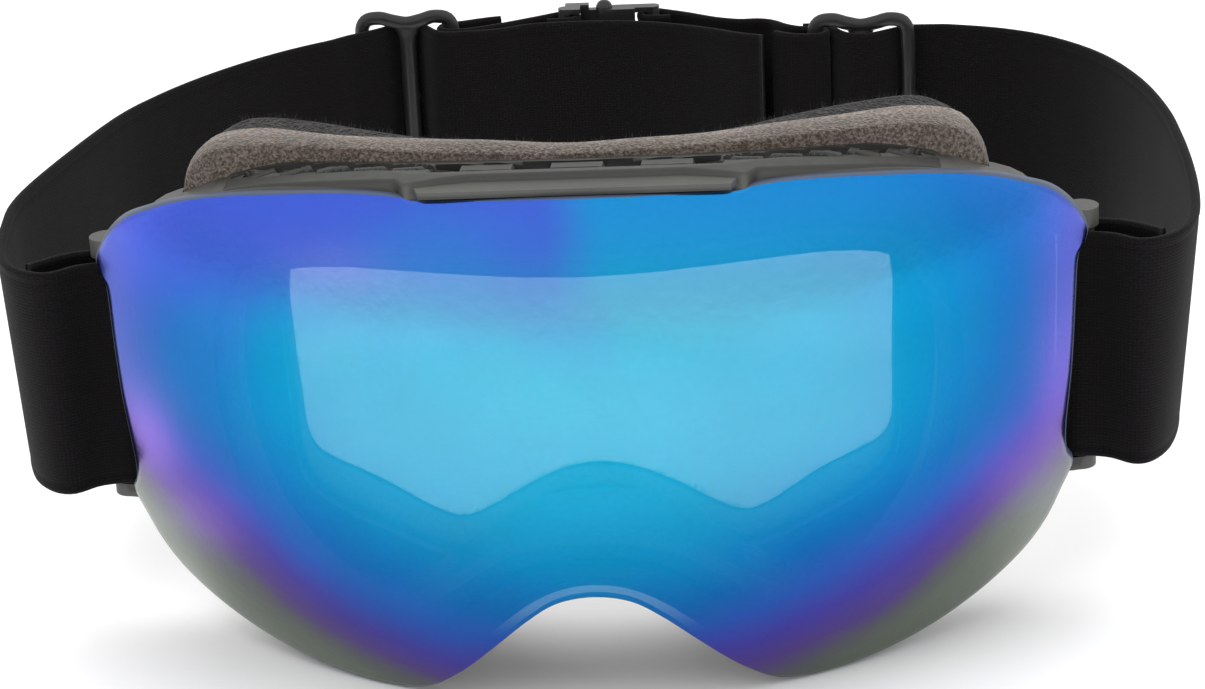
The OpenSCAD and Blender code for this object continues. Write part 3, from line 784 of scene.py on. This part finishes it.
# raised bars in front of the louvre slots
BAR_SHIFT = (-1.2, -1.9)
BAR_TURN = math.radians(-14)
BAR_HALF = (2.6, 0.75)
RECESS_DEPTH = 0.75
# half the depth of a side recess along the deck
RECESS_START = 22.5
RECESS_END = 63.5
RECESS = smooth([(RECESS_START, 0.1), (25.5, 2.4), (30, 3.6), (45, 3.5), (57, 2.5), (RECESS_END, 0.2)], 6)


def height_at(curve, x):
    x = abs(x)
    for a, b in zip(curve, curve[1:]):
        if a.x <= x <= b.x:
            return a.y + (b.y - a.y) * (x - a.x) / max(b.x - a.x, 1e-6)
    return curve[-1].y if x > curve[-1].x else curve[0].y


def deck_front(x):
    """Where the deck starts: behind the grip shelf, along the shelf's slanting ends, then behind the lens."""
    x = abs(x)
    if x <= STEP_HALF:
        return STEP_Y
    end = STEP_Y - 0.24 * (LIP_HALF - STEP_HALF)
    if x <= LIP_HALF:
        return STEP_Y + (end - STEP_Y) * (x - STEP_HALF) / (LIP_HALF - STEP_HALF)
    behind = on_ball(x, height_at(LENS_TOP, x), CARRIER_R) + 0.15
    return end + (behind - end) * smoothstep(LIP_HALF, LIP_HALF + 2.5, x)


def deck_rear(x):
    return rim_depth(x, height_at(WALL_TOP, x)) + 0.05


def deck_base(x, y):
    return min(DECK_Z - (y - DECK_START) * DECK_SLOPE, height_at(WALL_TOP, x))


def recess_middle(x):
    front = on_ball(x, height_at(WALL_TOP, x), CARRIER_R - 3.2)
    return (front + deck_rear(x)) / 2


def in_turned_box(x, y, middle, turn, half, soft):
    """1 inside a turned box, falling to 0 over the soft distance outside it."""
    dx, dy = x - middle[0], y - middle[1]
    u = abs(dx * math.cos(turn) + dy * math.sin(turn)) - half[0]
    v = abs(-dx * math.sin(turn) + dy * math.cos(turn)) - half[1]
    return (1 - smoothstep(0, soft, u)) * (1 - smoothstep(0, soft, v))


def louvre_bar(a, y):
    """1 on the raised bars between the louvre slots."""
    return max(in_turned_box(a, y, (x + BAR_SHIFT[0], louvre_y + BAR_SHIFT[1]), BAR_TURN, BAR_HALF, DECK_SOFT)
               for x, louvre_y in LOUVRES)


def middle_block(a, y):
    """1 on the three low blocks in the middle channel."""
    return max(in_turned_box(a, y, (middle, BLOCK_Y), 0.0, BLOCK_HALF, DECK_SOFT)
               for middle in (0.0, 2 * WINDOW_X))


def in_recess_shade(x, y):
    """Whether a point is on the floor or rear wall of a side recess, or in the middle channel, where the deck
    is painted dark as shade.
    """
    a = abs(x)
    if a < CHANNEL_HALF + 0.3:
        return CHANNEL_Y[0] + 0.5 < y < CHANNEL_Y[1] + 0.4 and middle_block(a, y) < 0.3
    half = height_at(RECESS, x) if a < RECESS_END else 0.0
    return half > 0.6 and 0.3 - half < y - recess_middle(x) < half and louvre_bar(a, y) < 0.3


def deck_rise(x, y):
    """Height of the deck's relief over its plain surface."""
    a = abs(x)
    front_edge = smoothstep(CHANNEL_Y[0], CHANNEL_Y[0] + DECK_SOFT, y)
    rear_edge = 1 - smoothstep(CHANNEL_Y[1], CHANNEL_Y[1] + DECK_SOFT, y)
    channel = (1 - smoothstep(CHANNEL_HALF, CHANNEL_HALF + 1, a)) * front_edge * rear_edge
    half = height_at(RECESS, a) if RECESS_START < a < RECESS_END else 0.0
    off = abs(y - recess_middle(x))
    side = (1 - smoothstep(half - DECK_SOFT, half, off)) if half > 0.3 else 0.0
    full = DECK_HIGH - DECK_LOW
    rise = DECK_HIGH - full * channel - RECESS_DEPTH * side
    bar_top = rise + RECESS_DEPTH * 0.9 * louvre_bar(a, y) * side
    block_top = DECK_LOW + full * 0.95 * middle_block(a, y)
    front_roll = smoothstep(0.0, 0.9, y - deck_front(x))
    return max(bar_top, block_top) - 0.7 * (1 - front_roll) ** 2


def in_slit(a, y):
    (x0, y0), (x1, y1), corner = SLIT
    return x0 < a < x1 and y0 + (y1 - y0) * (a - x0) / (x1 - x0) < y < corner[1]


def deck_open(x, y):
    """Whether the deck is pierced here."""
    a = abs(x)
    if abs(a - WINDOW_X) < WINDOW_HALF and WINDOW_Y[0] < y < WINDOW_Y[1] - 0.6:
        return True
    if in_slit(a, y):
        return True
    return any(in_turned_box(a, y, middle, LOUVRE_TURN, LOUVRE_HALF, 0.01) > 0.5 for middle in LOUVRES)


def build_deck():
    """A pierced relief: top and bottom skins over a grid, walled wherever the grid stops."""
    columns, rows = DECK_GRID
    xs = [-DECK_END + 2 * DECK_END * i / columns for i in range(columns + 1)]
    grid = []
    for x in xs:
        front, rear = deck_front(x), deck_rear(x)
        grid.append([front + (rear - front) * j / rows for j in range(rows + 1)])
    kept = set()
    for i in range(columns):
        for j in range(rows):
            x = (xs[i] + xs[i + 1]) / 2
            y = (grid[i][j] + grid[i + 1][j + 1]) / 2
            if not deck_open(x, y):
                kept.add((i, j))
    used = {}
    verts = []

    def vertex(i, j, top):
        key = (i, j, top)
        if key not in used:
            x, y = xs[i], grid[i][j]
            base = deck_base(x, y)
            fade = 1 - smoothstep(DECK_END - DECK_FADE, DECK_END, abs(x))
            z = base + deck_rise(x, y) * fade
            if not top:
                z = min(base - 0.7, height_at(LENS_TOP, x) - 0.8)
            used[key] = len(verts)
            verts.append(place(x, y, z))
        return used[key]

    faces, kinds = [], []
    for i, j in sorted(kept):
        ring = [(i, j), (i + 1, j), (i + 1, j + 1), (i, j + 1)]
        # painted shade: recess floors and walls get the near-black material
        dark = in_recess_shade((xs[i] + xs[i + 1]) / 2, (grid[i][j] + grid[i + 1][j + 1]) / 2)
        faces.append(tuple(vertex(a, b, True) for a, b in ring))
        faces.append(tuple(vertex(a, b, False) for a, b in reversed(ring)))
        beside = [(i, j - 1), (i + 1, j), (i, j + 1), (i - 1, j)]
        for k, cell in enumerate(beside):
            if cell not in kept:
                a, b = ring[k], ring[(k + 1) % 4]
                faces.append((vertex(*b, True), vertex(*a, True), vertex(*a, False), vertex(*b, False)))
        kinds += [int(dark)] + [0] * (len(faces) - len(kinds) - 1)
    deck = mesh_piece("brow_deck", verts, faces, [FRAME_MAT, RECESS_SHADE_MAT], face_material=kinds)
    deck.data.set_sharp_from_angle(angle=math.radians(50))
    finish_piece(deck, "frame")


build_deck()


# ---------- strap ----------
ARM_BAR = Vector((90.5, 59.5))
ARM_BAR_R = 2.4
ARM_GAP = 0.2
LOOP_R = ARM_BAR_R + ARM_GAP + STRAP_T / 2
# plan centre lines: from the sewn end round the arm's bar, along the side, then through the slider
STRAP_START = [Vector(p) for p in (
    [(14.7, -3.1), (9.5, 1.4), (5, 3.2)] + arc((0, 0), LOOP_R, 80, 285, 12)
    + [(5.4, -4.6), (9.8, -7.9), (14.6, -6.6), (19, -1.7), (22, 7.5), (23.6, 21)])]
RIGHT_REST = [(114.9, 96), (115, 112), (114.4, 128), (111.6, 147), (105.6, 165), (96.4, 178.4),
              (86.5, 186)]
LEFT_REST = [(-114.5, 94), (-110.8, 114), (-103, 143.4), (-96, 158.6), (-88.4, 170.4), (-80.4, 180),
             (-73, 187.2), (-67, 191.9)]
LEFT_WEAVE = [(-16.5, -8.4), (-13, -5.2), (-10.4, -3.4), (-7, -0.9), (-3.8, 1.9), (-1.6, 2.9), (0, 3.1),
              (1.8, 2.9), (3.6, 1.7), (5, -0.6), (6.4, -2.9), (8.2, -4.4), (10.8, -4.95), (14.5, -4.6),
              (20.9, -3.8)]
RIGHT_WEAVE = [(20, 2.8), (16, 3.1), (12.5, 3.1), (10.2, 2.95), (7.4, 1), (4.6, -1.2), (2.2, -2.8),
               (0, -3.15), (-2.2, -2.8), (-4.2, -1), (-5.4, 0.9), (-6.6, 3.1), (-8.4, 4.6), (-10.6, 5),
               (-13, 5)]
LEFT_END = [(-19, 202.2), (-12, 202.9), (-3, 202.8), (6, 201.4), (14.5, 198.2), (21.8, 194.2), (28.4, 189.8),
            (33.5, 187.4)]
SLIDER_HALF = 10.4
SLIDER_BAR_R = 1.5
SLIDERS = {"left": (Vector((-46.6, 203)), 0.0), "right": (Vector((55.3, 189)), -4.0)}
LOOP_GAP = 0.4
REAR_LOOP = SLIDER_BAR_R + LOOP_GAP + STRAP_T / 2
CLASP_Y = 208.5
EYES = {"left": Vector((-11, CLASP_Y)), "right": Vector((9, CLASP_Y))}
LEFT_WAY = [(-32, 200.6), (-25.7, 203.3), (-18.6, 207.2)]
RIGHT_WAY = [(41.6, 193.2), (38.6, 195.4), (36, 198.6), (32.8, 200.2), (28.4, 200.3), (23, 202.6),
             (16.6, 207.2)]
STRAP_MIDDLE = (STRAP_TOP + STRAP_LOW) / 2


def at_slider(side, points):
    centre, tilt = SLIDERS[side]
    return [centre + turned(x, y, tilt) for x, y in points]


def webbing_section():
    """Half thickness of the webbing at heights across it: thicker rolled edges beside a stitched groove."""
    half = (STRAP_TOP - STRAP_LOW) / 2
    t = STRAP_T / 2
    edge = [(0.0, 0.0), (0.12, 0.55), (0.5, 0.95), (1.1, 1.0), (1.8, 0.8), (2.2, 0.72), (2.7, 0.86),
            (3.6, 0.92)]
    top = [(half - down, t * share) for down, share in edge]
    down, share = edge[-1]
    steps = 14
    inner = [(half - down - 2 * (half - down) * i / steps, t * share) for i in range(1, steps)]
    side = top + inner + [(-h, w) for h, w in reversed(top)]
    return [(h, -w) for h, w in side] + [(h, w) for h, w in reversed(side[1:-1])]


def ribbon(name, path, step_mm=1.2, lean=None):
    """Webbing along a plan path, as a closed tube of the webbing's section."""
    section = webbing_section()
    count = max(int(lengths(path)[-1] / step_mm), 8)
    line = resample(path, count)
    verts, uv = [], []
    run = 0.0
    for i, p in enumerate(line):
        t = (line[min(i + 1, count - 1)] - line[max(i - 1, 0)]).normalized()
        n = Vector((-t.y, t.x))
        if i:
            run += (p - line[i - 1]).length
        for h, w in section:
            q = p + n * w
            shift = lean(p, h) if lean else 0.0
            verts.append(place(q.x + shift, q.y, STRAP_MIDDLE + h))
            uv.append((run, h))
    size = len(section)
    faces = loft_faces(count, size)
    faces.append(tuple(range(size)))
    faces.append(tuple((count - 1) * size + i for i in reversed(range(size))))
    return mesh_piece(name, verts, faces, [WEBBING], uv=uv)


def side_path(side):
    start = [p + ARM_BAR for p in STRAP_START]
    if side == "right":
        return smooth(start + RIGHT_REST + at_slider("right", RIGHT_WEAVE), 4)
    start = [(-p.x, p.y) for p in start]
    return smooth(start + LEFT_REST + at_slider("left", LEFT_WEAVE) + LEFT_END, 4)


def rear_path(side):
    s = 1 if side == "right" else -1
    tilt = SLIDERS[side][1]
    bar = at_slider(side, [(-s * SLIDER_HALF, 0)])[0]
    eye = EYES[side]
    round_eye = [eye + REAR_LOOP * Vector((s * math.cos(math.radians(a)), math.sin(math.radians(a))))
                 for a in range(60, 271, 10)]
    end = [eye + Vector((s * 2, -REAR_LOOP)), eye + Vector((s * 4, -REAR_LOOP))]
    if side == "left":
        start = [bar + Vector(p) for p in ((10.5, 6.2), (8, 5.6), (5.4, 4.7), (2.6, 3.5))]
        round_bar = arc(bar, REAR_LOOP, 90, 270, 18)
        way = LEFT_WAY
    else:
        start = [bar + Vector(p) for p in ((-8.8, 0.6), (-6.5, -1), (-4.4, -2.1), (-2.2, -2.6))]
        round_bar = arc(bar, REAR_LOOP, tilt - 90, tilt + 90, 18)
        way = RIGHT_WAY
    run = smooth([round_bar[-1]] + way + [round_eye[0]], 6)
    return start + round_bar + run[1:-1] + round_eye + end


SIDE_LEAN = {"left": 2.0, "right": 3.2}


def side_lean(side):
    """How far the lower edge of the side loop leans in, most where it is nearest the lens."""
    s = 1 if side == "right" else -1
    most = SIDE_LEAN[side]

    def lean(p, h):
        reach = smoothstep(98, 112, abs(p.x)) * (1 - smoothstep(120, 165, p.y))
        low = (STRAP_TOP - STRAP_MIDDLE - h) / (STRAP_TOP - STRAP_LOW)
        return -s * most * reach * low
    return lean


# two plan points on each side strap, one far from its slider and one near it, clear of the arms
SIDE_BLEND = {"left": ((-98, 156), (-63, 194)), "right": ((108, 160), (73, 186))}


def build_straps():
    for side in ("left", "right"):
        s = 1 if side == "right" else -1
        centre = SLIDERS[side][0]
        main = ribbon(side + "_side_webbing", side_path(side), lean=side_lean(side))
        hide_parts(side + "_side_strap", side + "_strap_tail")
        far, near = (place(x, y, STRAP_LOW) for x, y in SIDE_BLEND[side])
        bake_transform(main)
        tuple(far)
        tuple(near)
        rear = ribbon(side + "_rear_webbing", rear_path(side), 0.5)
        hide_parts(side + "_rear_strap")
        start = place(centre.x - s * 18, centre.y, STRAP_LOW)
        end = place(EYES[side].x + s * 5, centre.y, STRAP_LOW)
        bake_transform(rear)


build_straps()


# ---------- strap sliders ----------
def tube(name, rings_of, material, body, replaced=()):
    """One mesh from several lists of section rings; each list is closed on itself or capped."""
    verts, faces = [], []
    for rings, closed in rings_of:
        base = len(verts)
        size = len(rings[0])
        for ring in rings:
            verts += ring
        faces += [tuple(base + v for v in f) for f in loft_faces(len(rings), size, closed_rings=closed)]
        if not closed:
            faces.append(tuple(base + v for v in range(size)))
            faces.append(tuple(base + (len(rings) - 1) * size + v for v in reversed(range(size))))
    obj = mesh_piece(name, verts, faces, [material])
    return finish_piece(obj, body, replaced)


SLIDER_EDGE = [(-10.4, 0), (-10.4, 19), (-9.6, 24.1), (-6.4, 25.1), (-3.2, 24.3), (0, 23.7), (3.2, 24.3),
               (6.4, 25.1), (9.6, 24.1), (10.4, 19), (10.4, 0)]
SECTION_STEPS = 14
MIDDLE_R = 1.9
MIDDLE_END = 23.4


def section_angles():
    return [2 * math.pi * k / SECTION_STEPS for k in range(SECTION_STEPS)]


def slider_rails(spot):
    """The wavy rails and the end bars they run round into."""
    loop = SLIDER_EDGE + [(x, -z) for x, z in SLIDER_EDGE[-2:0:-1]]
    line = resample(smooth(loop, 8, closed=True), 200, closed=True)
    rails = []
    for i, p in enumerate(line):
        t = (line[(i + 1) % len(line)] - line[i - 1]).normalized()
        n = Vector((t.y, -t.x))
        bar = 1 - smoothstep(15, 20.5, abs(p.y))
        # the rails are flatter than the bars, and grow inwards to meet the strap's edge
        flat = 1.6 - 0.1 * bar
        thick = 1.2 + 0.3 * bar
        inward = 0.35 * (1 - bar)
        ring = []
        for a in section_angles():
            q = p + n * flat * math.cos(a)
            q.y -= math.copysign(inward, p.y)
            ring.append(spot(q.x, thick * math.sin(a), q.y))
        rails.append(ring)
    return rails


def slider_middle(spot):
    """The thicker bar across the middle, whose ends spread and flatten into the rails."""
    middle = []
    steps = 40
    for i in range(steps + 1):
        z = MIDDLE_END * (2 * i / steps - 1)
        spread = smoothstep(MIDDLE_END - 3.9, MIDDLE_END, abs(z))
        wide = MIDDLE_R + 1.3 * spread
        thick = MIDDLE_R - 0.9 * spread
        middle.append([spot(wide * math.cos(a), thick * math.sin(a), z) for a in section_angles()])
    return middle


def build_slider(side):
    centre, tilt = SLIDERS[side]

    def spot(x, y, z):
        q = centre + turned(x, y, tilt)
        return place(q.x, q.y, STRAP_MIDDLE + z)

    loops = [(slider_rails(spot), True), (slider_middle(spot), False)]
    tube(side + "_slider_frame", loops, SLIDER_MAT, side + "_slider", [side + "_slider"])


for slider_side in ("left", "right"):
    build_slider(slider_side)


# ---------- stage ----------
FLOOR_GAP = 0.0006


def build_stage():
    mat, tree, out = node_material("floor")
    g = Graph(tree)
    pale = g.add("ShaderNodeBsdfPrincipled", {"Base Color": (0.93, 0.93, 0.93, 1), "Roughness": 0.9})
    g.surface(out, pale.outputs[0])
    size = 6.0
    floor_z = LENS_LO.z - FLOOR_GAP
    verts = [(-size, -size, floor_z), (size, -size, floor_z), (size, size, floor_z), (-size, size, floor_z)]
    floor = mesh_piece("floor", verts, [(0, 1, 2, 3)], [mat], smooth_faces=False)
    world = bpy.data.worlds.new("studio")
    world.use_nodes = True
    world.node_tree.nodes["Background"].inputs["Color"].default_value = (1.0, 1.0, 1.0, 1)
    world.node_tree.nodes["Background"].inputs["Strength"].default_value = 0.9
    bpy.context.scene.world = world
    bpy.context.scene.view_settings.view_transform = "Standard"


def area_light(name, location, target, size, watts):
    data = bpy.data.lights.new(name, "AREA")
    data.shape = "RECTANGLE"
    data.size = size[0]
    data.size_y = size[1]
    data.energy = watts
    light = bpy.data.objects.new(name, data)
    light.location = location
    light.rotation_euler = (Vector(target) - Vector(location)).to_track_quat("-Z", "Y").to_euler()
    light.visible_glossy = False
    bpy.context.scene.collection.objects.link(light)


def build_lights():
    middle = place(0, 80, -10)
    area_light("key", middle + Vector((-0.6, -0.9, 1.2)), middle, (1.0, 0.8), 9)
    area_light("top", middle + Vector((0.1, 0.3, 1.3)), middle, (1.4, 1.0), 9)
    area_light("right", middle + Vector((1.1, -0.5, 0.6)), middle, (0.8, 0.8), 4)


# elevation, azimuth and roll in degrees, metres from the target, and focal length on a 36 mm sensor
CAMERA_ANGLES = (22, 2.76, 2.77)
CAMERA_DISTANCE = 0.6
CAMERA_TARGET = (2.28, 35, 2)
CAMERA_LENS = 99.5


def build_camera():
    """Seen from in front, above and slightly to the right, with a small roll."""
    elevation, azimuth, roll = (math.radians(angle) for angle in CAMERA_ANGLES)
    target = place(*CAMERA_TARGET)
    back = Vector((math.sin(azimuth) * math.cos(elevation), -math.cos(azimuth) * math.cos(elevation),
                   math.sin(elevation)))
    right = (-back).cross(Vector((0, 0, 1))).normalized()
    up = right.cross(-back)
    cam_right = right * math.cos(roll) - up * math.sin(roll)
    cam_up = up * math.cos(roll) + right * math.sin(roll)
    data = bpy.data.cameras.new("camera")
    data.sensor_width = 36
    data.lens = CAMERA_LENS
    data.clip_end = 50
    camera = bpy.data.objects.new("camera", data)
    turn = Matrix((cam_right, cam_up, back)).transposed().to_4x4()
    camera.matrix_world = Matrix.Translation(target + back * CAMERA_DISTANCE) @ turn
    bpy.context.scene.collection.objects.link(camera)
    bpy.context.scene.camera = camera


build_stage()
build_lights()
build_camera()
